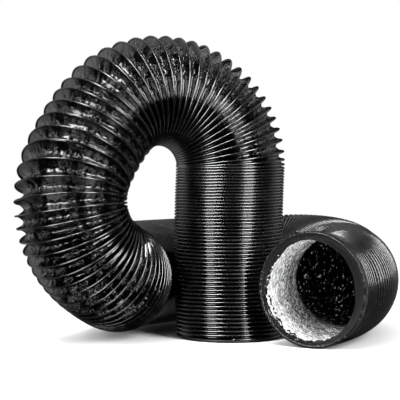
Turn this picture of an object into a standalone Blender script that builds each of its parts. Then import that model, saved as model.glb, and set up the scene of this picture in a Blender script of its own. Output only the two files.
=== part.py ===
"""Flexible air duct: a long wire-coil sleeve laid as a standing column, an arch, an elbow and a run
along the floor that curls forward to an open mouth.

Every length is in metres, +Z is up and z = 0 is the floor. The duct is built as stretches, one for each
body that can shift against the next. A stretch holds nested sleeves: the black film, the foil lining
inside it, and round the film the spring wire wrapped in its own fold of film. The wire is a true helix
where the duct is pulled open, and a close-wound sleeve where its turns lie against each other.
Each end of the duct has one flat hem ring.
"""

import math

import bmesh
import bpy
from mathutils import Matrix, Vector

# The duct's outside diameter over the wire crests drives every length of the route.
DUCT_DIAMETER = 0.1070

# Nested layers, from the crest of the wire inwards.
WIRE_BEAD_RADIUS = 0.00065
WIRE_CLEARANCE = 0.0007
FILM_WALL = 0.0006
FOIL_WALL = 0.0006
LAYER_GAP = 0.0004
SIDES = 20
STEP_ANGLE = math.radians(15.0)
STRETCH_GAP = 0.0003

# Hem rings at the two ends.
FOOT_HEM_LENGTH = 0.0030
MOUTH_HEM_LENGTH = 0.0060
HEM_STEP = 0.0009
MOUTH_LIP = 0.0055

# Where the column stands, in duct diameters, so that the laid duct sits centred over the origin.
FOOT_X = 0.1774
FOOT_Y = -0.2471

# The route in stretches. Each arc is its length in duct diameters, its bend in degrees, and the
# heading of the bend in degrees round the centre line from the foot's sideways mark.
COLUMN_ARCS = ((1.564, 0.0, 0.0),)
ARCH_RIGHT_ARCS = ((0.470, 38.51, 185.69), (0.516, 45.00, 204.21))
ARCH_LEFT_ARCS = ((0.658, 57.32, 204.21), (0.576, 16.40, 248.23))
ELBOW_OPEN_ARCS = ((0.976, 92.48, 177.62),)
ELBOW_CLOSED_ARCS = ((0.531, 50.26, 123.06), (1.250, 52.56, 258.34))
TAIL_RUN_ARCS = ((1.074, 45.16, 258.34),)
CURVE_BACK_ARCS = ((0.838, 79.08, 267.66),)
CURVE_FRONT_ARCS = ((0.067, 6.21, 155.28), (0.500, 12.32, 263.19))
MOUTH_ARCS = ((0.959, 25.00, 263.19),)

# Turns of wire in each stretch that is pulled open.
ARCH_RIGHT_TURNS = 14
ARCH_LEFT_TURNS = 14
ELBOW_TURNS = 13

CREST_RADIUS = DUCT_DIAMETER / 2
WIRE_CENTRE = CREST_RADIUS - WIRE_BEAD_RADIUS
FILM_OUTER = WIRE_CENTRE - WIRE_BEAD_RADIUS - WIRE_CLEARANCE
FILM_INNER = FILM_OUTER - FILM_WALL
FOIL_OUTER = FILM_INNER - LAYER_GAP
FOIL_INNER = FOIL_OUTER - FOIL_WALL
CLOSED_WIRE_INNER = FILM_OUTER + LAYER_GAP
HEM_INNER = FOIL_INNER - HEM_STEP

# Looks of the layers: colour, metallic, roughness and coat.
FILM_LOOK = ((0.010, 0.010, 0.011, 1.0), 0.0, 0.22, 1.0)
WIRE_LOOK = ((0.028, 0.028, 0.030, 1.0), 0.0, 0.30, 0.6)
FOIL_LOOK = ((0.800, 0.805, 0.810, 1.0), 1.0, 0.28, 0.0)
HEM_LOOK = ((0.016, 0.016, 0.017, 1.0), 0.0, 0.35, 0.4)


def clear_scene():
    """Remove everything the new file starts with."""
    for obj in list(bpy.data.objects):
        bpy.data.objects.remove(obj, do_unlink=True)


def material_for(name, look):
    """One Principled material for one piece."""
    colour, metallic, roughness, coat = look
    made = bpy.data.materials.new(name)
    made.use_nodes = True
    shader = made.node_tree.nodes["Principled BSDF"]
    shader.inputs["Base Color"].default_value = colour
    shader.inputs["Metallic"].default_value = metallic
    shader.inputs["Roughness"].default_value = roughness
    shader.inputs["Coat Weight"].default_value = coat
    made.diffuse_color = colour
    return made


def advance(frame, arc, share=1.0):
    """The frame a share of the way along one arc. Its Z column is the way on, its X column the mark."""
    length = arc[0] * DUCT_DIAMETER * share
    bend = math.radians(arc[1]) * share
    if abs(bend) < 1e-9:
        return frame @ Matrix.Translation((0.0, 0.0, length))
    heading = math.radians(arc[2])
    inward = Vector((math.cos(heading), math.sin(heading), 0.0))
    axis = Vector((-math.sin(heading), math.cos(heading), 0.0))
    centre = inward * (length / bend)
    turn = Matrix.Translation(centre) @ Matrix.Rotation(bend, 4, axis) @ Matrix.Translation(-centre)
    return frame @ turn


def advance_all(frame, arcs):
    """The frame at the far end of a row of arcs."""
    for arc in arcs:
        frame = advance(frame, arc)
    return frame


def straight(length):
    """An arc that doesn't bend, from a length in metres."""
    return (length / DUCT_DIAMETER, 0.0, 0.0)


def add_pivot(name, location, parent):
    """An empty on a body's joint, which carries the body's pieces and the next body's empty."""
    pivot = bpy.data.objects.new(name, None)
    pivot.empty_display_size = 0.02
    bpy.context.scene.collection.objects.link(pivot)
    pivot.location = location
    if parent is not None:
        pivot.parent = parent
        pivot.location = Vector(location) - parent_place(parent)
    return pivot


def parent_place(pivot):
    """Where an empty stands in the world, summed down its parents, none of which turns."""
    place = Vector((0.0, 0.0, 0.0))
    while pivot is not None:
        place += pivot.location
        pivot = pivot.parent
    return place


def finish_mesh(name, bm, pivot, look):
    """Turn a bmesh in world coordinates into a shaded child of its body's empty."""
    bmesh.ops.recalc_face_normals(bm, faces=bm.faces)
    for face in bm.faces:
        face.smooth = True
    for edge in bm.edges:
        edge.smooth = edge.calc_face_angle(0.0) < math.radians(35.0)
    bmesh.ops.translate(bm, vec=-parent_place(pivot), verts=bm.verts)
    mesh = bpy.data.meshes.new(name)
    bm.to_mesh(mesh)
    bm.free()
    mesh.materials.append(material_for(name, look))
    piece = bpy.data.objects.new(name, mesh)
    bpy.context.scene.collection.objects.link(piece)
    piece.parent = pivot
    return piece


def ring_of_faces(bm, frame, outer, inner):
    """A flat ring of faces across the duct at one frame."""
    angles = [2.0 * math.pi * k / SIDES for k in range(SIDES)]
    rows = []
    for radius in (outer, inner):
        row = [bm.verts.new(frame @ Vector((radius * math.cos(a), radius * math.sin(a), 0.0))) for a in angles]
        rows.append(row)
    faces = []
    for k in range(SIDES):
        after = (k + 1) % SIDES
        faces.append(bm.faces.new((rows[0][k], rows[0][after], rows[1][after], rows[1][k])))
    return faces


def add_sleeve(name, frame, arcs, outer, inner, pivot, look):
    """A sleeve: one flat ring extruded along the arcs in steps that each turn about the arc's own axis."""
    bm = bmesh.new()
    faces = ring_of_faces(bm, frame, outer, inner)
    inside = []
    for arc in arcs:
        steps = max(1, math.ceil(math.radians(abs(arc[1])) / STEP_ANGLE))
        before = frame
        for step in range(1, steps + 1):
            after = advance(frame, arc, step / steps)
            made = bmesh.ops.extrude_face_region(bm, geom=faces)["geom"]
            moved = [item for item in made if isinstance(item, bmesh.types.BMVert)]
            bmesh.ops.transform(bm, matrix=after @ before.inverted(), verts=moved)
            bmesh.ops.delete(bm, geom=inside, context="FACES_ONLY")
            faces = [item for item in made if isinstance(item, bmesh.types.BMFace)]
            inside = faces
            before = after
        frame = before
    return finish_mesh(name, bm, pivot, look)


def point_on_route(frame, arcs, distance):
    """The frame at a distance in metres along a row of arcs."""
    for arc in arcs:
        length = arc[0] * DUCT_DIAMETER
        if distance <= length:
            return advance(frame, arc, distance / length)
        frame = advance(frame, arc)
        distance -= length
    return frame


def bead_profile():
    """The three-sided outline that is swept along the helix. It is a helper and isn't rendered."""
    outline = bpy.data.curves.new("wire_bead_outline", "CURVE")
    spline = outline.splines.new("POLY")
    spline.points.add(2)
    for k in range(3):
        angle = -2.0 * math.pi * k / 3.0
        spline.points[k].co = (WIRE_BEAD_RADIUS * math.cos(angle), WIRE_BEAD_RADIUS * math.sin(angle), 0.0, 1.0)
    spline.use_cyclic_u = True
    helper = bpy.data.objects.new("wire_bead_outline", outline)
    bpy.context.scene.collection.objects.link(helper)
    helper.hide_render = True
    helper.display_type = "WIRE"
    return helper


def add_helix(name, frame, arcs, turns, pivot, profile):
    """The wire in its fold of film, wound along a pulled-open stretch."""
    length = sum(arc[0] for arc in arcs) * DUCT_DIAMETER
    inset = 2.0 * WIRE_BEAD_RADIUS
    place = parent_place(pivot)
    curve = bpy.data.curves.new(name, "CURVE")
    curve.dimensions = "3D"
    curve.bevel_mode = "OBJECT"
    curve.bevel_object = profile
    curve.use_fill_caps = True
    spline = curve.splines.new("POLY")
    count = turns * SIDES
    spline.points.add(count)
    for k in range(count + 1):
        angle = 2.0 * math.pi * k / SIDES
        at = inset + (length - 2.0 * inset) * k / count
        here = point_on_route(frame, arcs, at)
        spot = here @ Vector((WIRE_CENTRE * math.cos(angle), WIRE_CENTRE * math.sin(angle), 0.0))
        spline.points[k].co = (*(spot - place), 1.0)
    curve.materials.append(material_for(name, WIRE_LOOK))
    wire = bpy.data.objects.new(name, curve)
    bpy.context.scene.collection.objects.link(wire)
    wire.parent = pivot
    return wire


def add_lining(stretch, frame, arcs, pivot):
    """The film and the foil of one stretch."""
    add_sleeve("film_" + stretch, frame, arcs, FILM_OUTER, FILM_INNER, pivot, FILM_LOOK)
    add_sleeve("foil_" + stretch, frame, arcs, FOIL_OUTER, FOIL_INNER, pivot, FOIL_LOOK)


def add_closed_wire(stretch, frame, arcs, pivot):
    """The close-wound wire of one stretch."""
    add_sleeve("wire_" + stretch, frame, arcs, CREST_RADIUS, CLOSED_WIRE_INNER, pivot, WIRE_LOOK)


def outer_wall_pivot(frame):
    """The point level with the centre line on the outside of a bend, which an upright axis passes."""
    way = Vector((frame[0][2], frame[1][2], frame[2][2]))
    outward = Vector((-way.y, way.x, 0.0)).normalized()
    return frame.translation + outward * (CREST_RADIUS + STRETCH_GAP)


def build_duct():
    """Lay every stretch from the foot to the mouth."""
    clear_scene()
    profile = bead_profile()
    foot = Matrix.Translation((FOOT_X * DUCT_DIAMETER, FOOT_Y * DUCT_DIAMETER, 0.0))
    space = straight(STRETCH_GAP)

    column = add_pivot("column_foot", foot.translation, None)
    hem = straight(FOOT_HEM_LENGTH)
    add_sleeve("hem_foot", foot, (hem,), CREST_RADIUS, HEM_INNER, column, HEM_LOOK)
    start = advance_all(foot, (hem, space))
    rest = (straight(COLUMN_ARCS[0][0] * DUCT_DIAMETER - FOOT_HEM_LENGTH - STRETCH_GAP),)
    add_lining("column", start, rest, column)
    add_closed_wire("column", start, rest, column)

    start = advance_all(start, rest + (space,))
    arch_right = add_pivot("arch_right_joint", start.translation, column)
    add_lining("arch_right", start, ARCH_RIGHT_ARCS, arch_right)
    add_helix("wire_arch_right", start, ARCH_RIGHT_ARCS, ARCH_RIGHT_TURNS, arch_right, profile)

    start = advance_all(start, ARCH_RIGHT_ARCS + (space,))
    arch_left = add_pivot("arch_left_joint", start.translation, arch_right)
    add_lining("arch_left", start, ARCH_LEFT_ARCS, arch_left)
    add_helix("wire_arch_left", start, ARCH_LEFT_ARCS, ARCH_LEFT_TURNS, arch_left, profile)

    start = advance_all(start, ARCH_LEFT_ARCS + (space,))
    elbow = add_pivot("elbow_joint", start.translation, arch_left)
    add_lining("elbow_open", start, ELBOW_OPEN_ARCS, elbow)
    add_helix("wire_elbow_open", start, ELBOW_OPEN_ARCS, ELBOW_TURNS, elbow, profile)
    start = advance_all(start, ELBOW_OPEN_ARCS + (space,))
    add_lining("elbow_closed", start, ELBOW_CLOSED_ARCS, elbow)
    add_closed_wire("elbow_closed", start, ELBOW_CLOSED_ARCS, elbow)

    start = advance_all(start, ELBOW_CLOSED_ARCS + (space,))
    tail_run = add_pivot("tail_run_joint", start.translation, elbow)
    add_lining("tail_run", start, TAIL_RUN_ARCS, tail_run)
    add_closed_wire("tail_run", start, TAIL_RUN_ARCS, tail_run)

    start = advance_all(start, TAIL_RUN_ARCS + (space,))
    curve_back = add_pivot("curve_back_joint", outer_wall_pivot(start), tail_run)
    add_lining("curve_back", start, CURVE_BACK_ARCS, curve_back)
    add_closed_wire("curve_back", start, CURVE_BACK_ARCS, curve_back)

    start = advance_all(start, CURVE_BACK_ARCS + (space,))
    curve_front = add_pivot("curve_front_joint", outer_wall_pivot(start), curve_back)
    add_lining("curve_front", start, CURVE_FRONT_ARCS, curve_front)
    add_closed_wire("curve_front", start, CURVE_FRONT_ARCS, curve_front)

    start = advance_all(start, CURVE_FRONT_ARCS + (space,))
    mouth = add_pivot("mouth_joint", start.translation, curve_front)
    add_lining("mouth", start, MOUTH_ARCS, mouth)
    add_closed_wire("mouth", start, MOUTH_ARCS, mouth)
    start = advance_all(start, MOUTH_ARCS + (space,))
    lip = (straight(MOUTH_HEM_LENGTH),)
    add_sleeve("hem_mouth", start, lip, CREST_RADIUS, CREST_RADIUS - MOUTH_LIP, mouth, HEM_LOOK)


build_duct()
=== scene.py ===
"""Flexible air duct: the finished surfaces of a wire-coil duct laid as a column, an arch, an elbow and a
run that curls to an open mouth. Everything is in metres, +Z is up and z = 0 is the floor.

The duct is one long sleeve wound on one wire. Every surface is worked out on the straight duct first, as
an angle round the sleeve and a distance along it, and is then bent along the route. The black film hangs
in a fold between each two turns of wire, the foil lies inside it, and the wire runs along the crests in
its own thin fold of film. The sleeves are cut into pieces at meeting rings, and each piece lies across
one joint of the frame.
"""

import math

import bpy
import numpy as np
from bpy.props import FloatProperty, FloatVectorProperty, IntProperty, PointerProperty
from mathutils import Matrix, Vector


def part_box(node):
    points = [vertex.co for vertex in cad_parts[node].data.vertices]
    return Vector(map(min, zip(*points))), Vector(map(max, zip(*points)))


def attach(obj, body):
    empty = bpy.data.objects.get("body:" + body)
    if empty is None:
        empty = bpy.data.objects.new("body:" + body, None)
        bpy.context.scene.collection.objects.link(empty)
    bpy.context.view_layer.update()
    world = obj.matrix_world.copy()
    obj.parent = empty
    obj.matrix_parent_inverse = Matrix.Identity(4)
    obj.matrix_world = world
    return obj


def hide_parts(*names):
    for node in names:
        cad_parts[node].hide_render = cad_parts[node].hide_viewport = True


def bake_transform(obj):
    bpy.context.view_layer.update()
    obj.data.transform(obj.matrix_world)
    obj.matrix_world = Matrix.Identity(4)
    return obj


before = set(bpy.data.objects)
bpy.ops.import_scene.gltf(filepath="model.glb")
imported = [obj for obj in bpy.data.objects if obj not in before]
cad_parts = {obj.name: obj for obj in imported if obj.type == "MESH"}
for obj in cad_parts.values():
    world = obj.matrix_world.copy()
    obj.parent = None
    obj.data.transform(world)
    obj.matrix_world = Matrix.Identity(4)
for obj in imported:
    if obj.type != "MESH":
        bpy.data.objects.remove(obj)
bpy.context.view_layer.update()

bl_info = {
    "name": "Flexible Air Duct",
    "version": (1, 0, 0),
    "blender": (4, 5, 0),
    "location": "View3D > Sidebar > Duct",
    "description": "Film, wire and foil of a laid flexible air duct, with its studio",
    "category": "Add Mesh",
}

FOOT_LOW, FOOT_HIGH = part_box("hem_foot")
DIAMETER = FOOT_HIGH.x - FOOT_LOW.x
FOOT = np.array([(FOOT_LOW.x + FOOT_HIGH.x) / 2, (FOOT_LOW.y + FOOT_HIGH.y) / 2, FOOT_LOW.z])

# The route in stretches, one for each run of the frame. Each arc is its length in duct diameters, its
# bend in degrees, and the heading of the bend in degrees round the centre line from the side mark.
FOOT_HEM = 0.0030
MOUTH_HEM = 0.0060
STRETCH_GAP = 0.0003
ROUTE = (
    ((1.564, 0.0, 0.0),),
    ((0.470, 38.51, 185.69), (0.516, 45.00, 204.21)),
    ((0.658, 57.32, 204.21), (0.576, 16.40, 248.23)),
    ((0.976, 92.48, 177.62),),
    ((0.531, 50.26, 123.06), (1.250, 52.56, 258.34)),
    ((1.074, 45.16, 258.34),),
    ((0.838, 79.08, 267.66),),
    ((0.067, 6.21, 155.28), (0.500, 12.32, 263.19)),
    ((0.959, 25.00, 263.19),),
)
BEND_SMOOTHING = 0.018

# How far apart the turns of wire lie along the centre line: (distance from the foot, pitch).
TURN_PITCHES = (
    (0.000, 0.0040), (0.060, 0.0039), (0.100, 0.0034), (0.140, 0.0029), (0.172, 0.0028),
    (0.175, 0.0068), (0.200, 0.0065), (0.222, 0.0074),
    (0.245, 0.0081), (0.268, 0.0076), (0.286, 0.0090), (0.335, 0.0094), (0.350, 0.0115),
    (0.362, 0.0135), (0.385, 0.0145), (0.397, 0.0138), (0.409, 0.0120), (0.420, 0.0100),
    (0.438, 0.0095), (0.450, 0.0079), (0.475, 0.0068), (0.505, 0.0058), (0.550, 0.0045),
    (0.590, 0.0039), (0.800, 0.0039), (0.850, 0.0052), (0.940, 0.0062), (1.030, 0.0062),
    (1.055, 0.0048), (1.080, 0.0040),
)
PITCH_WANDER = 0.07
WANDER_FROM, WANDER_SPAN = 0.0045, 0.003
CLOSED_PITCH = 0.0039
# Between these two pitches the film goes from drawn up to hanging slack.
SLACKENING = (0.0060, 0.0105)
# The steps at which the bends and the coil are tabulated, and how far the coil's table runs on.
BEND_STEP, COIL_STEP, COIL_OVERRUN = 0.0005, 0.0001, 0.012
# The middle of the crease pattern, so that creases stand out both ways.
CREASE_MIDDLE = 0.55

# The rings where two pieces meet, as distances from the foot.
MEETING_RINGS = (FOOT_HEM, 0.178, 0.335, 0.560, 0.725, 0.855, 0.940, 1.045)
RING_MARGIN = 0.0015
COLUMN_BLEND = (0.012, 0.1655)
COLUMN_SWAY = 0.0024
PIECE_WORDS = (
    "column_to_arch", "arch_crown", "arch_to_elbow", "elbow_to_run", "run_to_curve", "curve_bend",
    "curve_to_mouth",
)
# The frame's stretches that each piece stands for.
STOOD_FOR = (
    ("column",), ("arch_right",), ("arch_left",), ("elbow_open", "elbow_closed"), ("tail_run",),
    ("curve_back",), ("curve_front", "mouth"),
)

# How finely each sleeve is divided between two turns of wire, as shares of the way.
OPEN_SHARES = (0.0, 0.05, 0.12, 0.20, 0.29, 0.38, 0.46, 0.54, 0.62, 0.71, 0.80, 0.88, 0.95)
CLOSED_SHARES = (0.0, 0.10, 0.22, 0.36, 0.50, 0.64, 0.78, 0.90)
FOIL_SHARES = (0.0, 0.25, 0.50, 0.75)
FOIL_MOUTH_SHARES = (0.0, 0.09, 0.18, 0.27, 0.36, 0.45, 0.54, 0.63, 0.72, 0.81, 0.90)
TIE = 0.00005
# For each piece in turn: columns round the duct with the rows' shares, and the wire's steps in a turn.
FILM_GRIDS = ((192, CLOSED_SHARES),) + ((192, OPEN_SHARES),) * 2 + ((120, CLOSED_SHARES),) * 4
FOIL_GRIDS = ((72, FOIL_SHARES),) * 4 + ((128, CLOSED_SHARES),) * 2 + ((240, FOIL_MOUTH_SHARES),)
WIRE_STEPS = (90,) * 3 + (72,) * 4
WIRE_SIDES = 8
FOIL_END_ROWS = 56
FOOT_COLUMNS, FOOT_SIDES = 192, 16
# Where round the mouth the flap leans in least, and where it is crumpled.
FLAP_TOWARDS = math.radians(102.0)
FLAP_CRUMPLE = math.radians(315.0)

# The camera stands square to the front and looks a little down.
CAMERA_PLACE = (-0.01124, -1.79344, 0.2287)
CAMERA_PITCH = math.radians(86.95)
CAMERA_LENS = 162.0
CAMERA_SENSOR = 36.0

# The lights: where they stand and how large they are. Each front panel shares its power with a wider one
# in the same place, and all look at the middle of the duct.
LIT_MIDDLE = (0.0, 0.0, 0.14)
LEFT_PANELS, RIGHT_PANELS = (-1.30, -1.42, 0.90), (1.26, -1.46, 0.90)
PANEL_SIZE, PANEL_SHARE = (0.75, 1.5), 0.88
WIDE_PANEL_SIZE, WIDE_PANEL_SHARE = (1.30, 1.8), 0.12
TOP_PLACE, TOP_SIZE = (-0.56, -0.78, 1.72), (0.42, 0.42)
BACK_PLACE, BACK_SIZE = (0.0, 1.5, 2.2), (2.6, 1.6)
FILL_PLACE, FILL_SIZE = (0.0, -0.2, 2.3), (2.6, 2.6)

# Half the floor's width, and the distances between which it fades away.
FLOOR_REACH = 1.0
FLOOR_FADE = (0.30, 0.80)


# ---------------------------------------------------------------- the route

def route_arcs():
    """Every arc from foot to mouth with hems and gaps: (length, bend, heading), angles in radians."""
    column = ROUTE[0][0][0] * DIAMETER - FOOT_HEM - STRETCH_GAP
    arcs = [(FOOT_HEM, 0.0, 0.0), (STRETCH_GAP, 0.0, 0.0), (column, 0.0, 0.0)]
    for stretch in ROUTE[1:]:
        arcs.append((STRETCH_GAP, 0.0, 0.0))
        for length, bend, heading in stretch:
            arcs.append((length * DIAMETER, math.radians(bend), math.radians(heading)))
    return arcs + [(STRETCH_GAP, 0.0, 0.0), (MOUTH_HEM + 0.004, 0.0, 0.0)]


def turned(vector, axis, angle):
    """Rodrigues' rotation: v cos a + (axis x v) sin a + axis (axis . v) (1 - cos a)."""
    angle = np.asarray(angle, float)[..., None]
    along = (vector @ axis)[..., None] if vector.ndim > 1 else vector @ axis
    across = np.cross(axis, vector)
    return vector * np.cos(angle) + across * np.sin(angle) + axis * along * (1 - np.cos(angle))


class Route:
    """The centre line as a row of arcs, with a frame that turns only as much as the arcs bend it."""

    def __init__(self):
        place, marks, at = FOOT.copy(), np.eye(3), 0.0
        self.starts, self.parts = [], []
        for length, bend, heading in route_arcs():
            inward = np.array([math.cos(heading), math.sin(heading), 0.0])
            axis = np.array([-math.sin(heading), math.cos(heading), 0.0])
            self.starts.append(at)
            self.parts.append((bend / length, inward, axis, place, marks))
            step, turn = self.within(len(self.parts) - 1, np.array([length]))
            place, marks, at = step[0], turn[0], at + length
        self.length = at
        self.smooth_bends()

    def within(self, part, distance):
        """Places and frames in one arc: inward (1 - cos b) / k + way sin b / k, turned by its start."""
        bend, inward, axis, place, marks = self.parts[part]
        way = np.array([0.0, 0.0, 1.0])
        angle = bend * distance
        if abs(bend) < 1e-9:
            step = way * distance[:, None]
        else:
            step = (inward * (1 - np.cos(angle))[:, None] + way * np.sin(angle)[:, None]) / bend
        frames = np.stack([turned(unit, axis, angle) for unit in np.eye(3)], axis=2)
        return place + step @ marks.T, marks @ frames

    def at(self, along):
        """The centre line's place and three marks (side, second side, way on) at each distance."""
        along = np.asarray(along, float)
        places, frames = np.empty((along.size, 3)), np.empty((along.size, 3, 3))
        part = np.clip(np.searchsorted(self.starts, along, side="right") - 1, 0, len(self.parts) - 1)
        for index in np.unique(part):
            chosen = part == index
            places[chosen], frames[chosen] = self.within(index, along[chosen] - self.starts[index])
        return places, frames

    def smooth_bends(self):
        """The bend towards each side mark, averaged over a short window, for the folds to follow."""
        self.fine = np.arange(0.0, self.length, BEND_STEP)
        part = np.searchsorted(self.starts, self.fine, side="right") - 1
        bends = np.array([self.parts[index][0] * self.parts[index][1][:2] for index in part])
        window = np.ones(int(BEND_SMOOTHING / BEND_STEP))
        window /= window.size
        padded = np.pad(bends, ((window.size, window.size), (0, 0)), mode="edge")
        cut = slice(window.size, window.size + self.fine.size)
        averaged = [np.convolve(padded[:, k], window, mode="same")[cut] for k in (0, 1)]
        self.bends = np.stack(averaged, axis=1)

    def bend_towards(self, along, theta):
        """How strongly the route bends towards the angle theta, per metre."""
        side = np.interp(along, self.fine, self.bends[:, 0])
        second = np.interp(along, self.fine, self.bends[:, 1])
        return side * np.cos(theta) + second * np.sin(theta)

    def wrap(self, along, theta, radius, shift=0.0):
        """Bend a point of the straight duct: centre + radius (side cos + second side sin) + shift on.
        The column leans a little to its left in its middle, as half a sine wave from foot to top."""
        places, frames = self.at(along)
        out = frames[:, :, 0] * np.cos(theta)[:, None] + frames[:, :, 1] * np.sin(theta)[:, None]
        shift = np.broadcast_to(shift, theta.shape)
        places[:, 0] -= COLUMN_SWAY * np.sin(math.pi * np.clip(along / MEETING_RINGS[1], 0.0, 1.0))
        radius = np.broadcast_to(radius, theta.shape)
        return places + out * radius[:, None] + frames[:, :, 2] * shift[:, None]


class Coil:
    """Where the turns of wire lie: the count of turns from the foot is the sum of 1 / pitch."""

    def __init__(self, length):
        self.along = np.arange(0.0, length + COIL_OVERRUN, COIL_STEP)
        knots = np.array(TURN_PITCHES)
        pitch = np.interp(self.along, knots[:, 0], knots[:, 1])
        opened = np.clip((pitch - WANDER_FROM) / WANDER_SPAN, 0.0, 1.0)
        wander = np.sin(self.along * 331.0 + 0.7) + np.sin(self.along * 547.0 + 2.1)
        self.pitch = pitch * (1.0 + PITCH_WANDER * opened * wander / 2.0)
        self.turns = np.concatenate([[0.0], np.cumsum(COIL_STEP / self.pitch)[:-1]])

    def turns_at(self, along):
        return np.interp(along, self.along, self.turns)

    def along_at(self, turns):
        return np.interp(turns, self.turns, self.along)

    def pitch_at(self, along):
        return np.interp(along, self.along, self.pitch)


ROUTE_LINE = Route()
COIL = Coil(ROUTE_LINE.length)
RIM = sum(arc[0] for arc in route_arcs()[:-1]) + MOUTH_HEM
FILM_END = RIM - MOUTH_HEM


# ---------------------------------------------------------------- surfaces of the straight duct

def smooth_step(value, low, high):
    """0 below low, 1 above high, and t t (3 - 2 t) between."""
    t = np.clip((value - low) / (high - low), 0.0, 1.0)
    return t * t * (3.0 - 2.0 * t)


def creases(theta, along, seed, wave, count=7):
    """Crumpled film, from 0 to about 1: the mean of |sin| waves that cross at many headings. Each wave
    has a whole number of cycles round the sleeve, and the angle and distance are warped by slow waves."""
    rng = np.random.default_rng(seed)
    reach = DIAMETER / 2
    warp = rng.uniform(0.0, 2 * math.pi, 4)
    turned_by = 0.06 * np.sin(5 * theta + along * 190.0 + warp[0])
    turned_by = turned_by + 0.03 * np.sin(11 * theta - along * 410.0 + warp[1])
    moved_by = 0.0016 * np.sin(7 * theta + along * 230.0 + warp[2])
    moved_by = moved_by + 0.0008 * np.sin(17 * theta + warp[3])
    total = np.zeros(np.broadcast(theta, along).shape)
    for _ in range(count):
        heading = rng.uniform(0.0, math.pi)
        size = wave * rng.uniform(0.7, 1.7)
        cycles = round(math.pi * reach / size * math.cos(heading))
        rate = math.pi / size * math.sin(heading)
        phase = rng.uniform(0.0, math.pi)
        total += np.abs(np.sin(cycles * (theta + turned_by) + rate * (along + moved_by) + phase))
    return total / count


def fold_share(along, theta):
    """How far a point is from one turn of wire to the next, from 0 to 1."""
    return np.mod(COIL.turns_at(along) - theta / (2 * math.pi), 1.0)


def local_pitch(along, theta):
    """The pitch at that side of the duct: less on the inside of a bend, more on the outside."""
    return COIL.pitch_at(along) * (1.0 - ROUTE_LINE.bend_towards(along, theta) * DIAMETER / 2)


def fold_depth(along, theta, sizes):
    """How deep the film hangs between two turns: deeper where they lie further apart."""
    depth = sizes.closed_fold + sizes.fold_growth * (local_pitch(along, theta) - CLOSED_PITCH)
    return np.clip(depth, sizes.least_fold, sizes.deepest_fold)


def openness(along, theta):
    """0 where the turns lie close together and 1 where the duct is pulled well open."""
    return smooth_step(local_pitch(along, theta), *SLACKENING)


def film_shape(along, theta, sizes):
    """Radius, forward shift and slackness of the film. The fold is sin(pi f) to a power below one, which
    is pointed at the wire and round in the valley; creases deepen it where the film is slack."""
    share = fold_share(along, theta)
    fold = np.sin(math.pi * share) ** sizes.fold_power
    opened = openness(along, theta)
    slack = fold * (0.02 + 0.98 * opened)
    crumple = creases(theta, along, 11, sizes.crinkle_size) - CREASE_MIDDLE
    fine = creases(theta, along, 23, sizes.crinkle_size * 0.45, 5) - CREASE_MIDDLE
    sideways = creases(theta, along, 37, sizes.crinkle_size * 1.3) - CREASE_MIDDLE
    height = sizes.crinkle_height * slack * (1.6 * crumple + 0.7 * fine)
    depth = fold_depth(along, theta, sizes)
    lumps = np.sin(9 * theta + along * 260.0) * np.sin(4 * theta - along * 170.0 + 1.0)
    depth = depth * (1.0 + 0.10 * opened * lumps)
    radius = DIAMETER / 2 - sizes.crest_drop - depth * fold + height
    shift = sizes.crinkle_height * 1.8 * slack * sideways
    return radius, shift, slack


def foil_shape(along, theta, sizes):
    """Radius, shift and slackness of the foil: the film's valleys less a gap, with flatter folds between
    them, and finer, sharper creases, which are strongest near the mouth."""
    share = fold_share(along, theta)
    fold = np.sin(math.pi * share) ** 0.9
    opened = openness(along, theta)
    near = smooth_step(along, RIM - 0.20, RIM - 0.05)
    rise = 1.0 - near * (1.0 - sizes.foil_fold)
    depth = fold_depth(along, theta, sizes)
    floor = DIAMETER / 2 - sizes.crest_drop - depth - sizes.foil_gap - sizes.crinkle_height * opened
    crumple = creases(theta, along, 53, sizes.crinkle_size * 0.62) - CREASE_MIDDLE
    fine = creases(theta, along * 1.7, 61, sizes.crinkle_size * 0.36) - CREASE_MIDDLE
    height = sizes.foil_crinkle * (0.25 + 0.75 * near) * (1.5 * crumple + 1.1 * fine)
    radius = floor + rise * depth * (1.0 - fold) * 0.9 - np.abs(height)
    return radius, height * 0.8, fold


def mouth_flare(along, theta, sizes):
    """How far the soft end of the duct stands outwards and forwards: both grow as t t (3 - 2 t) over the
    last turns, outwards towards the top and the sides, and forwards towards the side by the column."""
    marks = ROUTE_LINE.at([RIM])[1][0]
    upward = marks[2, 0] * np.cos(theta) + marks[2, 1] * np.sin(theta)
    leftward = -(marks[0, 0] * np.cos(theta) + marks[0, 1] * np.sin(theta))
    grown = smooth_step(along, RIM - 0.030, RIM - 0.001)
    return sizes.mouth_flare * grown * (0.5 + 0.5 * upward), sizes.mouth_turn * grown * leftward


# ---------------------------------------------------------------- meshes

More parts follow.
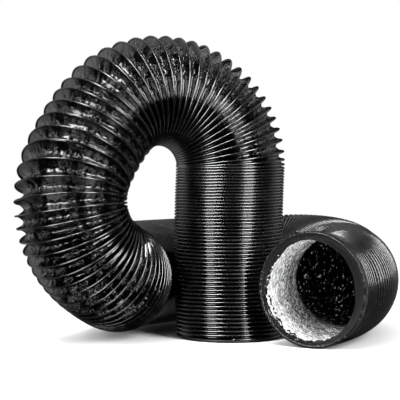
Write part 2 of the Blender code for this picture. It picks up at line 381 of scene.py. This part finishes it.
def helical_cells(start, end, columns, shares, inside_out=False):
    """Angles, distances and faces of a sleeve whose rows run along the coil, cut square at both ends.
    Row i of the ribbon lies a share f of a turn after the wire: its distance is that of (turn + f) turns.
    Points past an end are drawn back to it and shared, and faces left with two corners are dropped."""
    shares = np.asarray(shares, float)
    first = math.floor((COIL.turns_at(start) - 1.0) * columns) - 1
    last = math.ceil(COIL.turns_at(end) * columns) + columns + 1
    step = np.arange(first, last + 1)
    spot = step[:, None] / columns + shares[None, :]
    along = COIL.along_at(spot)
    column = np.broadcast_to((step % columns)[:, None], spot.shape)
    own = 2 * columns + np.arange(spot.size).reshape(spot.shape)
    label = np.where(along <= start + TIE, column, np.where(along >= end - TIE, columns + column, own))
    ribbon = np.concatenate([label[:-columns], label[columns:, :1]], axis=1)
    corners = (ribbon[:-1, :-1], ribbon[1:, :-1], ribbon[1:, 1:], ribbon[:-1, 1:])
    quads = np.stack([corner.ravel() for corner in corners], axis=1)
    quads = quads[:, ::-1] if inside_out else quads
    used, index = np.unique(quads, return_inverse=True)
    quads = index.reshape(quads.shape)
    inner = np.maximum(used - 2 * columns, 0)
    theta = np.where(used < 2 * columns, used % columns, column.ravel()[inner])
    distance = along.ravel()[inner]
    distance = np.where(used < columns, start, np.where(used < 2 * columns, end, distance))
    same = quads == np.roll(quads, -1, axis=1)
    whole = quads[~same.any(axis=1)]
    thirds = quads[same.sum(axis=1) == 1]
    gone = same[same.sum(axis=1) == 1].argmax(axis=1)
    kept = (gone[:, None] + np.array([1, 2, 3])) % 4
    thirds = np.take_along_axis(thirds, kept, axis=1)
    thirds = thirds[(thirds[:, 0] != thirds[:, 2])]
    return theta * 2 * math.pi / columns, distance, whole.tolist() + thirds.tolist()


def ring_cells(rows, columns, inside_out=False):
    """Faces of a plain grid of rows round the duct, closed into a tube along its rows."""
    index = np.arange(rows * columns).reshape(rows, columns)
    onward = np.roll(index, -1, axis=1)
    corners = (index[:-1], onward[:-1], onward[1:], index[1:])
    quads = np.stack([corner.ravel() for corner in corners], axis=1)
    return (quads[:, ::-1] if inside_out else quads).tolist()


def add_piece(name, points, faces, look, theta=None, along=None, slack=None):
    """A smooth mesh object at the origin, with its place on the straight duct kept as an attribute:
    laid_out = (radius cos theta, radius sin theta, distance along)."""
    mesh = bpy.data.meshes.new(name)
    mesh.from_pydata(points.tolist(), [], faces)
    if theta is not None:
        reach = DIAMETER / 2
        laid = np.stack([reach * np.cos(theta), reach * np.sin(theta), along], axis=1)
        mesh.attributes.new("laid_out", "FLOAT_VECTOR", "POINT").data.foreach_set(
            "vector", laid.astype(np.float32).ravel()
        )
    if slack is not None:
        values = np.broadcast_to(slack, (len(points),)).astype(np.float32)
        mesh.attributes.new("slack", "FLOAT", "POINT").data.foreach_set("value", values)
    mesh.shade_smooth()
    mesh.materials.append(look)
    piece = bpy.data.objects.new(name, mesh)
    bpy.context.scene.collection.objects.link(piece)
    return piece


def meeting_ring(along):
    """Points on one ring a little outside the duct, for finding where it lies along a direction."""
    theta = np.linspace(0.0, 2 * math.pi, 73)[:-1]
    return ROUTE_LINE.wrap(np.full(theta.shape, along), theta, DIAMETER / 2 + RING_MARGIN)


def bend_with_joint(piece, part):
    """Bake a piece's place into its mesh, after finding the stretch between its two meeting rings where a
    blend between its two bodies would run and refusing rings that overlap; no blend is made.
    """
    if part == 0:
        start, end = (Vector((FOOT[0], FOOT[1], height)) for height in COLUMN_BLEND)
    else:
        near, far = meeting_ring(MEETING_RINGS[part]), meeting_ring(MEETING_RINGS[part + 1])
        way = far.mean(axis=0) - near.mean(axis=0)
        way /= np.linalg.norm(way)
        low, high = (near @ way).max() + RING_MARGIN, (far @ way).min() - RING_MARGIN
        if high <= low:
            raise RuntimeError(f"{piece.name}: its meeting rings overlap along its way")
        base = near.mean(axis=0)
        start, end = (Vector(base + way * (reach - base @ way)) for reach in (low, high))
    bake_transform(piece)


def piece_ends(part, to_hem=False):
    """The two distances between which a piece lies. The last film and wire pieces run on to the hem."""
    last = part == len(PIECE_WORDS) - 1
    return MEETING_RINGS[part], FILM_END if to_hem and last else MEETING_RINGS[part + 1]


def wire_tube(start, end, segments, sizes):
    """The wire in its fold of film: a round bar carried along the crest from one distance to another.
    Point = crest centre + bead (out cos p + way on sin p), with caps at both ends."""
    first, last = COIL.turns_at(start), COIL.turns_at(end)
    count = max(2, math.ceil((last - first) * segments) + 1)
    turn = np.linspace(first, last, count)
    around = np.arange(WIRE_SIDES) * 2 * math.pi / WIRE_SIDES
    theta = np.repeat(turn * 2 * math.pi, WIRE_SIDES)
    along = np.repeat(COIL.along_at(turn), WIRE_SIDES)
    angle = np.tile(around, count)
    opened = openness(along, theta)
    ripple = 1.0 + 0.05 * opened * np.sin(theta * 37.0 + along * 900.0) * np.cos(theta * 23.0)
    bead = sizes.wire_radius * (1.0 + sizes.closed_bead * (1.0 - opened)) * ripple
    centre = DIAMETER / 2 - bead
    outward, forward = mouth_flare(along, theta, sizes)
    radius = centre + bead * np.cos(angle) + outward
    points = ROUTE_LINE.wrap(along, theta, radius, bead * np.sin(angle) + forward)
    index = np.arange(count * WIRE_SIDES).reshape(count, WIRE_SIDES)
    onward = np.roll(index, -1, axis=1)
    corners = (index[:-1], index[1:], onward[1:], onward[:-1])
    faces = np.stack([corner.ravel() for corner in corners], axis=1).tolist()
    faces += [index[0].tolist(), index[-1][::-1].tolist()]
    return points, faces, theta, along


# ---------------------------------------------------------------- shader maths and looks

class Value:
    """A number that varies over a surface. Arithmetic on it adds Math nodes to its look."""

    def __init__(self, look, socket):
        self.look = look
        self.socket = socket

    def maths(self, operation, first, second=0.0):
        return self.look.node("ShaderNodeMath", {"operation": operation}, {0: first, 1: second})

    def __add__(self, other):
        return self.maths("ADD", self, other)

    def __radd__(self, other):
        return self.maths("ADD", other, self)

    def __sub__(self, other):
        return self.maths("SUBTRACT", self, other)

    def __rsub__(self, other):
        return self.maths("SUBTRACT", other, self)

    def __mul__(self, other):
        return self.maths("MULTIPLY", self, other)

    def __rmul__(self, other):
        return self.maths("MULTIPLY", other, self)

    def __abs__(self):
        return self.maths("ABSOLUTE", self)

    def held(self, low, high):
        """The value kept between two limits."""
        return self.maths("MINIMUM", self.maths("MAXIMUM", self, low), high)

    def spread(self, low, high):
        """0 at low and 1 at high, straight between, and held outside."""
        return ((self - low) * (1.0 / (high - low))).held(0.0, 1.0)


class Nodes:
    """The nodes of one material or world, all added in the same way."""

    def __init__(self, tree):
        self.tree = tree

    def node(self, kind, settings, sockets, output=0):
        """Add a node: its settings first, then the values or links of its sockets."""
        made = self.tree.nodes.new(kind)
        for name, value in settings.items():
            setattr(made, name, value)
        for name, value in sockets.items():
            if isinstance(value, Value):
                self.tree.links.new(value.socket, made.inputs[name])
            else:
                made.inputs[name].default_value = value
        return Value(self, made.outputs[output])


class Look(Nodes):
    """One material: a Principled shader and the nodes that feed it."""

    def __init__(self, name, constants):
        self.material = bpy.data.materials.new(name)
        self.material.use_nodes = True
        super().__init__(self.material.node_tree)
        self.shader = self.tree.nodes["Principled BSDF"]
        for socket, value in constants.items():
            self.shader.inputs[socket].default_value = value

    def laid_out(self):
        """The point's place on the straight duct."""
        return self.node("ShaderNodeAttribute", {"attribute_name": "laid_out"}, {}, "Vector")

    def attribute(self, name):
        return self.node("ShaderNodeAttribute", {"attribute_name": name}, {}, "Fac")

    def stretched(self, vector, scale):
        """The pattern's coordinates, scaled along each axis."""
        return self.node("ShaderNodeMapping", {}, {"Vector": vector, "Scale": scale})

    def noise(self, vector, scale, detail=2.0, roughness=0.5, distortion=0.0):
        sockets = {
            "Vector": vector, "Scale": scale, "Detail": detail, "Roughness": roughness,
            "Distortion": distortion,
        }
        return self.node("ShaderNodeTexNoise", {}, sockets, "Fac")

    def creased(self, vector, scale, width, distortion=0.0):
        """Thin ridges where a noise crosses its middle: 1 - |n - 1/2| / width, held above 0."""
        wave = self.noise(vector, scale, 2.0, 0.5, distortion)
        return (1.0 - abs(wave - 0.5) * (1.0 / width)).held(0.0, 1.0)

    def mixed(self, factor, low, high):
        """A colour between two colours, or two other mixes."""
        settings = {"data_type": "RGBA"}
        sockets = {0: factor, 6: low, 7: high}
        return self.node("ShaderNodeMix", settings, sockets, 2)

    def feed(self, socket, value):
        self.tree.links.new(value.socket, self.shader.inputs[socket])

    def bumped(self, height, distance, strength=1.0):
        """Feed a height in shares of a distance to the shader's normal."""
        sockets = {"Height": height, "Distance": distance, "Strength": strength}
        self.feed("Normal", self.node("ShaderNodeBump", {}, sockets))


def grey(value):
    return (value, value, value * 1.02, 1.0)


def film_look(colours):
    """Thin black film: glossy, clear-coated, creased in patches where it hangs slack."""
    look = Look("black_duct_film", {"Coat Weight": 0.7, "Coat Roughness": 0.02, "IOR": 1.5})
    laid = look.laid_out()
    slack = look.attribute("slack")
    patches = look.noise(laid, 60.0, 3.0, 0.6)
    crumpled = look.noise(laid, 95.0, 2.0, 0.5).spread(0.46, 0.58)
    crease = look.creased(laid, 210.0, 0.12, 0.6)
    fine = look.creased(laid, 430.0, 0.10, 0.5)
    dust = (patches * patches).held(0.0, 1.0)
    look.feed("Base Color", look.mixed(dust, (*colours.film, 1.0), (*colours.film_dust, 1.0)))
    look.feed("Roughness", 0.05 + patches * 0.06)
    folds = (crease * 0.8 + fine * 0.5) * (slack * 0.99 + 0.01) * (0.08 + crumpled * 0.92)
    look.bumped(folds, 0.0011, 1.0)
    return look.material


def wire_look(colours):
    """The film drawn tight over the wire: smoother, with lighter stretches along the crest that are
    partly real rubbing and partly a painted sheen for the wire's bright line.
    """
    look = Look("film_over_wire", {"Coat Weight": 0.8, "Coat Roughness": 0.08, "IOR": 1.75})
    laid = look.laid_out()
    rubbed_and_sheen = look.noise(laid, 45.0, 3.0, 0.6).spread(0.42, 0.72)
    ripples = look.noise(look.stretched(laid, (1.0, 1.0, 0.2)), 900.0, 1.0, 0.5)
    # The lighter patches are partly real rubbing and partly a painted sheen for the wire's bright line.
    look.feed("Base Color", look.mixed(rubbed_and_sheen, (*colours.wire_film, 1.0), (*colours.wire_crest_rubbing_and_sheen, 1.0)))
    look.feed("Roughness", 0.22 + rubbed_and_sheen * 0.10)
    look.bumped(ripples, 0.00006, 0.35)
    return look.material


def foil_look(colours):
    """Bright aluminium foil, crumpled fine. Its colour is near white by the mouth and painted near black
    deeper in as painted shade, with painted glints where single creases would catch the light. Its
    creases are painted dark as painted shade, more so deeper in, and its emission adds a painted glow to
    the lit foil and the glints."""
    # Its emission is a painted glow for the lit foil and the glints.
    look = Look("crumpled_foil", {"Metallic": 0.05, "IOR": 1.5, "Emission Strength": 0.30})
    laid = look.laid_out()
    depth = RIM - look.node("ShaderNodeSeparateXYZ", {}, {0: laid}, 2)
    cloud = look.noise(laid, 160.0, 3.0, 0.6)
    crease = look.creased(look.stretched(laid, (0.7, 0.7, 1.8)), 210.0, 0.10, 0.8)
    fine = look.creased(look.stretched(laid, (0.7, 0.7, 1.9)), 360.0, 0.10, 0.6)
    inward = (depth + cloud * 0.03).spread(0.020, 0.085)
    # Painted shade in the creases: dark streaks in the foil's colour, stronger deeper in.
    painted_crease_shade = ((crease * 0.8 + fine * 0.8) * (0.46 + inward * 0.80)).held(0.0, 1.0)
    # Painted shade: the foil's colour goes from near white by the mouth to near black deeper in, where
    # lit falls to 0.
    lit = 1.0 - (depth + cloud * 0.02).spread(0.100, 0.150)
    # Painted glints: sparse bright specks in the deep foil's colour and emission.
    glints = look.noise(look.stretched(laid, (0.40, 0.40, 2.0)), 560.0, 1.0, 0.4).spread(0.665, 0.75)
    deep = look.mixed(glints, (*colours.foil_deep_shade, 1.0), (*colours.foil_painted_glint, 1.0))
    bright = look.mixed(painted_crease_shade, (*colours.foil, 1.0), (*colours.foil_crease_painted_shade, 1.0))
    look.feed("Base Color", look.mixed(lit, deep, bright))
    look.feed("Roughness", 0.30 + cloud * 0.25)
    # Painted glow: the emission lights the lit foil between its creases and the deep glints.
    painted_glow = glints * (1.0 - lit) * 0.75 + (1.0 - painted_crease_shade) * lit * 0.75
    look.feed("Emission Color", look.mixed(painted_glow, grey(0.0), grey(1.0)))
    look.bumped(crease * 0.8 + fine * 0.6, 0.0010, 1.0)
    return look.material


def hem_look(colours):
    """The film turned in at an end: satin, thicker, and glossy only where it is wrinkled."""
    look = Look("turned_in_film", {"Coat Weight": 0.15, "Coat Roughness": 0.12, "IOR": 1.40})
    laid = look.laid_out()
    wrinkled = look.attribute("slack")
    cloud = look.noise(laid, 70.0, 3.0, 0.55)
    wrinkle = look.creased(look.stretched(laid, (1.0, 1.0, 0.4)), 170.0, 0.12, 0.5)
    look.feed("Base Color", look.mixed(cloud, (*colours.hem, 1.0), (*colours.hem_dust, 1.0)))
    look.feed("Roughness", 0.46 + cloud * 0.12 - wrinkled * 0.38)
    look.bumped((wrinkle * 0.9 + cloud * 0.4) * (0.12 + wrinkled * 0.88), 0.0013, 1.0)
    return look.material


def floor_look(colours):
    """Plain pale floor with the faintest cloud in it."""
    look = Look("pale_floor", {"Specular IOR Level": 0.1})
    where = look.node("ShaderNodeTexCoord", {}, {}, "Object")
    cloud = look.noise(where, 3.0, 2.0, 0.5)
    paler = grey(min(1.0, colours.floor[0] + 0.02))
    look.feed("Base Color", look.mixed(cloud, (*colours.floor, 1.0), paler))
    look.feed("Roughness", 0.7 + cloud * 0.1)
    far = look.node("ShaderNodeVectorMath", {"operation": "LENGTH"}, {0: where}, 1)
    look.feed("Alpha", 1.0 - far.spread(*FLOOR_FADE))
    return look.material


def look_named(name, maker):
    """One material of each kind, made the first time it is asked for."""
    found = bpy.data.materials.get(name)
    return found if found is not None else maker(bpy.context.scene.duct_colours)


# ---------------------------------------------------------------- settings

def number_setting(name, default, description):
    return FloatProperty(name=name, description=description, default=default)


def length_setting(name, default, description):
    return FloatProperty(name=name, description=description, default=default, unit="LENGTH")


def power_setting(name, default, description):
    return FloatProperty(name=name, description=description, default=default, unit="POWER")


def colour_setting(name, default, description):
    return FloatVectorProperty(name=name, description=description, default=default, subtype="COLOR")


class DuctSizes(bpy.types.PropertyGroup):
    """Sizes of the duct's surfaces."""

    wire_radius: length_setting("Wire bead", 0.00078, "Radius of the wire in its fold of film")
    closed_bead: number_setting(
        "Closed bead", 0.35, "How much fuller the bead is where the duct is closed"
    )
    crest_drop: length_setting("Crest drop", 0.0006, "How far the film's crest lies inside the wire")
    closed_fold: length_setting(
        "Closed fold", 0.0030, "Depth of the film's folds where the duct is closed"
    )
    fold_growth: number_setting("Fold growth", 0.60, "Depth gained for each metre of pitch")
    least_fold: length_setting("Least fold", 0.0016, "Depth of the tightest folds")
    deepest_fold: length_setting("Deepest fold", 0.0098, "Depth of the widest folds")
    fold_power: number_setting(
        "Fold shape", 0.80, "Below one is pointed at the wire and round in the valley"
    )
    crinkle_height: length_setting("Crinkle height", 0.0013, "Height of the creases in slack film")
    crinkle_size: length_setting("Crinkle size", 0.0062, "Width of the creases in slack film")
    foil_gap: length_setting("Foil gap", 0.0009, "Room between the film and the foil")
    foil_fold: number_setting(
        "Foil fold", 0.30, "Share of the film's folds that the foil shows near the mouth"
    )
    foil_crinkle: length_setting("Foil crinkle", 0.00055, "Height of the foil's creases")
    mouth_flare: length_setting("Mouth flare", 0.0030, "How far the soft rim stands outwards at its top")
    mouth_turn: length_setting("Mouth turn", 0.0050, "How far forward the rim stands on its left side")
    flap_length: length_setting("Flap", 0.0112, "Length of the film turned in over the rim")
    rim_radius: length_setting("Rim", 0.0013, "Radius of the rounded rim")
    ragged_edge: length_setting("Ragged edge", 0.0026, "How unevenly the foil is torn off")
    flap_columns: IntProperty(
        name="Flap columns", description="Divisions round the mouth's flap and foil", default=320
    )


class DuctColours(bpy.types.PropertyGroup):
    """Colours of the duct and its floor."""

    film: colour_setting("Film", (0.0002, 0.0002, 0.0002), "The black film")
    film_dust: colour_setting("Film haze", (0.0008, 0.0008, 0.00085), "The film's duller patches")
    wire_film: colour_setting("Wire film", (0.0006, 0.0006, 0.0006), "Film drawn over the wire")
    # The lighter crest colour below is partly real rubbing and partly a painted sheen for the wire's
    # bright line.
    wire_crest_rubbing_and_sheen: colour_setting(
        "Rubbed wire film", (0.0030, 0.0030, 0.0031), "Where the crest is rubbed"
    )
    foil: colour_setting("Foil", (0.96, 0.962, 0.965), "Foil near the mouth")
    # Painted shade: the dark colour of the foil's creases.
    foil_crease_painted_shade: colour_setting("Foil crease", (0.03, 0.03, 0.032), "The foil's dark creases")
    # Painted shade: the foil's colour deep inside the duct.
    foil_deep_shade: colour_setting("Deep foil", (0.010, 0.010, 0.010), "Foil deep inside")
    # Painted glints: bright specks on the deep foil.
    foil_painted_glint: colour_setting("Foil glint", (0.75, 0.75, 0.76), "Bright creases deep inside")
    hem: colour_setting("Hem", (0.0024, 0.0024, 0.0025), "Film turned in at the ends")
    hem_dust: colour_setting("Hem haze", (0.0055, 0.0055, 0.0057), "The hem's paler patches")
    floor: colour_setting("Floor", (0.92, 0.92, 0.92), "The floor's colour")


class DuctStudio(bpy.types.PropertyGroup):
    """Lights of the studio."""

    left_power: power_setting("Left panels", 62.0, "Power of the lights in front on the left")
    right_power: power_setting("Right panels", 74.0, "Power of the lights in front on the right")
    top_power: power_setting("Top light", 20.0, "Power of the small light high in front on the left")
    back_power: power_setting("Back light", 8.0, "Power of the wide light high behind")
    fill_power: power_setting("Fill", 45.0, "Power of the overhead light that only softens the shadows")
    back_glow: number_setting(
        "Back glow", 0.55, "How brightly the surround lights the rims, from behind and overhead"
    )
    front_shade: number_setting(
        "Front shade", 0.012, "How brightly the surround lights the duct from every side"
    )


# ---------------------------------------------------------------- operators

class DUCT_OT_film(bpy.types.Operator):
    """Make the black film sleeve, in one piece for each joint"""

    bl_idname = "duct.film"
    bl_label = "Film sleeve"

    def execute(self, context):
        sizes = context.scene.duct_sizes
        look = look_named("black_duct_film", film_look)
        for part, word in enumerate(PIECE_WORDS):
            theta, along, faces = helical_cells(*piece_ends(part, to_hem=True), *FILM_GRIDS[part])
            radius, shift, slack = film_shape(along, theta, sizes)
            outward, forward = mouth_flare(along, theta, sizes)
            points = ROUTE_LINE.wrap(along, theta, radius + outward, shift + forward)
            piece = add_piece("film_" + word, points, faces, look, theta, along, slack)
            bend_with_joint(piece, part)
            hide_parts(*["film_" + stretch for stretch in STOOD_FOR[part]])
        return {"FINISHED"}


class DUCT_OT_wire(bpy.types.Operator):
    """Make the coil of wire in its fold of film, in one piece for each joint"""

    bl_idname = "duct.wire"
    bl_label = "Wire coil"

    def execute(self, context):
        sizes = context.scene.duct_sizes
        look = look_named("film_over_wire", wire_look)
        for part, word in enumerate(PIECE_WORDS):
            start, end = piece_ends(part, to_hem=True)
            points, faces, theta, along = wire_tube(start, end, WIRE_STEPS[part], sizes)
            piece = add_piece("wire_" + word, points, faces, look, theta, along)
            bend_with_joint(piece, part)
            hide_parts(*["wire_" + stretch for stretch in STOOD_FOR[part]])
        return {"FINISHED"}


class DUCT_OT_foil(bpy.types.Operator):
    """Make the foil lining, in one piece for each joint and finer towards the mouth"""

    bl_idname = "duct.foil"
    bl_label = "Foil lining"

    def execute(self, context):
        sizes = context.scene.duct_sizes
        look = look_named("crumpled_foil", foil_look)
        for part, word in enumerate(PIECE_WORDS):
            theta, along, faces = helical_cells(*piece_ends(part), *FOIL_GRIDS[part], inside_out=True)
            radius, shift, slack = foil_shape(along, theta, sizes)
            outward, forward = mouth_flare(along, theta, sizes)
            points = ROUTE_LINE.wrap(along, theta, radius + outward, shift + forward)
            piece = add_piece("foil_" + word, points, faces, look, theta, along, slack)
            bend_with_joint(piece, part)
            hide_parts(*["foil_" + stretch for stretch in STOOD_FOR[part]])
        return {"FINISHED"}


class DUCT_OT_foil_end(bpy.types.Operator):
    """Make the torn, crumpled end of the foil just inside the mouth"""

    bl_idname = "duct.foil_end"
    bl_label = "Foil end"

    def execute(self, context):
        sizes = context.scene.duct_sizes
        columns, rows = sizes.flap_columns, FOIL_END_ROWS
        angle = np.arange(columns) * 2 * math.pi / columns
        rng = np.random.default_rng(5)
        edge = np.zeros(columns)
        for cycles in (3, 7, 11, 17, 26, 41, 63):
            edge += np.sin(cycles * angle + rng.uniform(0, 2 * math.pi)) / cycles ** 0.55
        edge = RIM - sizes.flap_length * 0.66 + sizes.ragged_edge * edge / 1.6
        start = MEETING_RINGS[-1]
        share = np.linspace(0.0, 1.0, rows)[:, None]
        along = (start + (edge[None, :] - start) * share).ravel()
        theta = np.tile(angle, rows)
        radius, shift, slack = foil_shape(along, theta, sizes)
        near = smooth_step(along, RIM - 0.020, RIM - 0.008)
        curl = 0.0007 * np.sin(theta * 29.0 + 1.3) * np.sin(theta * 13.0) + 0.0004 * np.sin(theta * 71.0)
        radius = radius - near * (0.0006 + curl)
        outward, forward = mouth_flare(along, theta, sizes)
        points = ROUTE_LINE.wrap(along, theta, radius + outward, shift * (1.0 - near * 0.5) + forward)
        look = look_named("crumpled_foil", foil_look)
        faces = ring_cells(rows, columns, True)
        piece = add_piece("foil_mouth_end", points, faces, look, theta, along, slack)
        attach(piece, "mouth")
        return {"FINISHED"}


class DUCT_OT_mouth_hem(bpy.types.Operator):
    """Make the rounded rim of the mouth and the flap of film turned in over it"""

    bl_idname = "duct.mouth_hem"
    bl_label = "Mouth hem"

    def execute(self, context):
        sizes = context.scene.duct_sizes
        columns = sizes.flap_columns
        theta = np.arange(columns) * 2 * math.pi / columns
        rim, crest = sizes.rim_radius, DIAMETER / 2
        towards = np.clip(np.cos(theta - FLAP_TOWARDS), 0.0, 1.0) ** 1.3
        away = np.clip(-np.cos(theta - FLAP_TOWARDS), 0.0, 1.0)
        lean = np.radians(58.0 + 9.0 * away - 44.0 * towards)
        length = sizes.flap_length * (1.0 + 0.03 * np.sin(5 * theta) + 0.02 * np.sin(13 * theta + 1.0))
        outer = [(crest - 0.0002, FILM_END - 0.0006), (crest - 0.0001, FILM_END + 0.0012)]
        outer += [(crest, FILM_END + (RIM - rim - FILM_END) * share) for share in (0.5, 0.75, 1.0)]
        rounds = np.linspace(0.0, math.pi * 0.5, 7)[1:]
        outer += [(crest - rim + rim * math.cos(a), RIM - rim + rim * math.sin(a)) for a in rounds]
        radii = [np.full(columns, radius) for radius, _ in outer]
        places = [np.full(columns, place) for _, place in outer]
        crumple_at = smooth_step(np.cos(theta - FLAP_CRUMPLE), 0.0, 0.95)
        for share in np.linspace(0.0, 1.0, 26)[1:]:
            turn_in = lean * smooth_step(share, 0.0, 0.45)
            radius = crest - rim - length * share * np.cos(turn_in)
            place = RIM - length * share * np.sin(turn_in)
            wrinkle = creases(theta, np.full(columns, share * 0.02), 71, 0.0068) - CREASE_MIDDLE
            soft = np.sin(8 * theta + 2.0) * np.sin(3 * theta) * 0.0004
            height = share * ((0.0010 + 0.0058 * crumple_at) * wrinkle + soft)
            radii.append(radius + height)
            places.append(place + height * 0.6)
        radius, along = np.concatenate(radii), np.concatenate(places)
        everywhere = np.tile(theta, len(radii))
        outward, forward = mouth_flare(along, everywhere, sizes)
        points = ROUTE_LINE.wrap(along, everywhere, radius + outward, forward)
        look = look_named("turned_in_film", hem_look)
        faces = ring_cells(len(radii), columns)
        slack = np.tile(crumple_at, len(radii))
        slack[:columns * len(outer)] = 0.85
        piece = add_piece("hem_mouth_flap", points, faces, look, everywhere, along, slack)
        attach(piece, "mouth")
        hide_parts("hem_mouth")
        return {"FINISHED"}


class DUCT_OT_foot_hem(bpy.types.Operator):
    """Make the turned-in hem that the column stands on"""

    bl_idname = "duct.foot_hem"
    bl_label = "Foot hem"

    def execute(self, context):
        columns = FOOT_COLUMNS
        around = np.arange(FOOT_SIDES) * 2 * math.pi / FOOT_SIDES
        middle, half = DIAMETER / 2 - 0.0022, 0.0021
        theta = np.repeat(np.arange(columns) * 2 * math.pi / columns, around.size)
        angle = np.tile(around, columns)
        squared = 0.62
        out = np.sign(np.cos(angle)) * np.abs(np.cos(angle)) ** squared
        up = np.sign(np.sin(angle)) * np.abs(np.sin(angle)) ** squared
        ripple = 0.00012 * np.sin(theta * 31.0) * np.sin(theta * 12.0)
        along = FOOT_HEM / 2 + up * FOOT_HEM / 2
        points = ROUTE_LINE.wrap(along, theta, middle + out * half + ripple)
        index = np.arange(columns * around.size).reshape(columns, around.size)
        onward, next_ring = np.roll(index, -1, axis=1), np.roll(index, -1, axis=0)
        corners = (index, next_ring, np.roll(onward, -1, axis=0), onward)
        faces = np.stack([corner.ravel() for corner in corners], axis=1).tolist()
        look = look_named("turned_in_film", hem_look)
        piece = add_piece("hem_foot_ring", points, faces, look, theta, along)
        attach(piece, "column")
        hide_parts("hem_foot")
        return {"FINISHED"}


def area_light(name, power, size, place):
    """A rectangular light that looks at the duct's middle and isn't itself seen."""
    data = bpy.data.lights.new(name, "AREA")
    data.shape = "RECTANGLE"
    data.size, data.size_y = size
    data.energy = power
    light = bpy.data.objects.new(name, data)
    light.location = place
    light.rotation_euler = (Vector(LIT_MIDDLE) - Vector(place)).to_track_quat("-Z", "Y").to_euler()
    light.visible_camera = False
    bpy.context.scene.collection.objects.link(light)
    return light


def surround_world(studio):
    """A white surround for the eye. It lights the duct's rims from behind at both sides and from
    overhead: its strength is glow (side(|x|) behind(y) + half overhead(z)) + shade, where each rises
    straight from 0 to 1 between two limits."""
    world = bpy.data.worlds.new("studio_surround")
    world.use_nodes = True
    look = Nodes(world.node_tree)
    where = look.node("ShaderNodeTexCoord", {}, {}, "Generated")
    across, back, up = (look.node("ShaderNodeSeparateXYZ", {}, {0: where}, axis) for axis in range(3))
    glow = abs(across).spread(0.30, 0.80) * back.spread(0.05, 0.45) + up.spread(0.72, 0.95) * 0.5
    seen = look.node("ShaderNodeLightPath", {}, {}, "Is Camera Ray")
    lighting = glow * studio.back_glow + studio.front_shade
    strength = look.node("ShaderNodeMath", {"operation": "MAXIMUM"}, {0: seen, 1: lighting})
    background = look.tree.nodes["Background"]
    look.tree.links.new(strength.socket, background.inputs["Strength"])
    background.inputs["Color"].default_value = (1.0, 1.0, 1.0, 1.0)
    bpy.context.scene.world = world


class DUCT_OT_stage(bpy.types.Operator):
    """Make the floor, the lights, the surround and the camera"""

    bl_idname = "duct.stage"
    bl_label = "Stage"

    def execute(self, context):
        scene = context.scene
        studio, colours = scene.duct_studio, scene.duct_colours
        mesh = bpy.data.meshes.new("pale_floor")
        signs = ((-1, -1), (1, -1), (1, 1), (-1, 1))
        corners = [(x * FLOOR_REACH, y * FLOOR_REACH, 0.0) for x, y in signs]
        mesh.from_pydata(corners, [], [(0, 1, 2, 3)])
        mesh.materials.append(floor_look(colours))
        floor = bpy.data.objects.new("pale_floor", mesh)
        scene.collection.objects.link(floor)
        floor.visible_glossy = False
        panels = (("left", studio.left_power, LEFT_PANELS), ("right", studio.right_power, RIGHT_PANELS))
        for side, power, place in panels:
            area_light(f"panel_{side}", power * PANEL_SHARE, PANEL_SIZE, place)
            area_light(f"wide_panel_{side}", power * WIDE_PANEL_SHARE, WIDE_PANEL_SIZE, place)
        area_light("top_front", studio.top_power, TOP_SIZE, TOP_PLACE)
        area_light("top_back", studio.back_power, BACK_SIZE, BACK_PLACE)
        fill = area_light("overhead_fill", studio.fill_power, FILL_SIZE, FILL_PLACE)
        fill.visible_glossy = False
        surround_world(studio)
        camera = bpy.data.objects.new("front_camera", bpy.data.cameras.new("front_camera"))
        camera.data.lens = CAMERA_LENS
        camera.data.sensor_width = CAMERA_SENSOR
        camera.data.clip_start, camera.data.clip_end = 0.05, 100.0
        camera.location = CAMERA_PLACE
        camera.rotation_euler = (CAMERA_PITCH, 0.0, 0.0)
        scene.collection.objects.link(camera)
        scene.camera = camera
        scene.view_settings.view_transform = "Standard"
        return {"FINISHED"}


class DUCT_PT_sidebar(bpy.types.Panel):
    """The duct's operators and settings, in the 3D view's sidebar"""

    bl_label = "Flexible Air Duct"
    bl_idname = "DUCT_PT_sidebar"
    bl_space_type = "VIEW_3D"
    bl_region_type = "UI"
    bl_category = "Duct"

    def draw(self, context):
        for maker in OPERATORS:
            self.layout.operator(maker.bl_idname)
        for group in (context.scene.duct_sizes, context.scene.duct_colours, context.scene.duct_studio):
            box = self.layout.box()
            for name in group.__annotations__:
                box.prop(group, name)


OPERATORS = (
    DUCT_OT_film, DUCT_OT_wire, DUCT_OT_foil, DUCT_OT_foil_end, DUCT_OT_mouth_hem, DUCT_OT_foot_hem,
    DUCT_OT_stage,
)
GROUPS = {"duct_sizes": DuctSizes, "duct_colours": DuctColours, "duct_studio": DuctStudio}


def register():
    for group in GROUPS.values():
        bpy.utils.register_class(group)
    for made in (*OPERATORS, DUCT_PT_sidebar):
        bpy.utils.register_class(made)
    for name, group in GROUPS.items():
        setattr(bpy.types.Scene, name, PointerProperty(type=group))


def unregister():
    for name in GROUPS:
        delattr(bpy.types.Scene, name)
    for made in (DUCT_PT_sidebar, *reversed(OPERATORS), *reversed(GROUPS.values())):
        bpy.utils.unregister_class(made)


def main():
    """Make every piece and the stage in order."""
    register()
    bpy.ops.duct.film()
    bpy.ops.duct.wire()
    bpy.ops.duct.foil()
    bpy.ops.duct.foil_end()
    bpy.ops.duct.mouth_hem()
    bpy.ops.duct.foot_hem()
    bpy.ops.duct.stage()


if __name__ == "__main__":
    main()
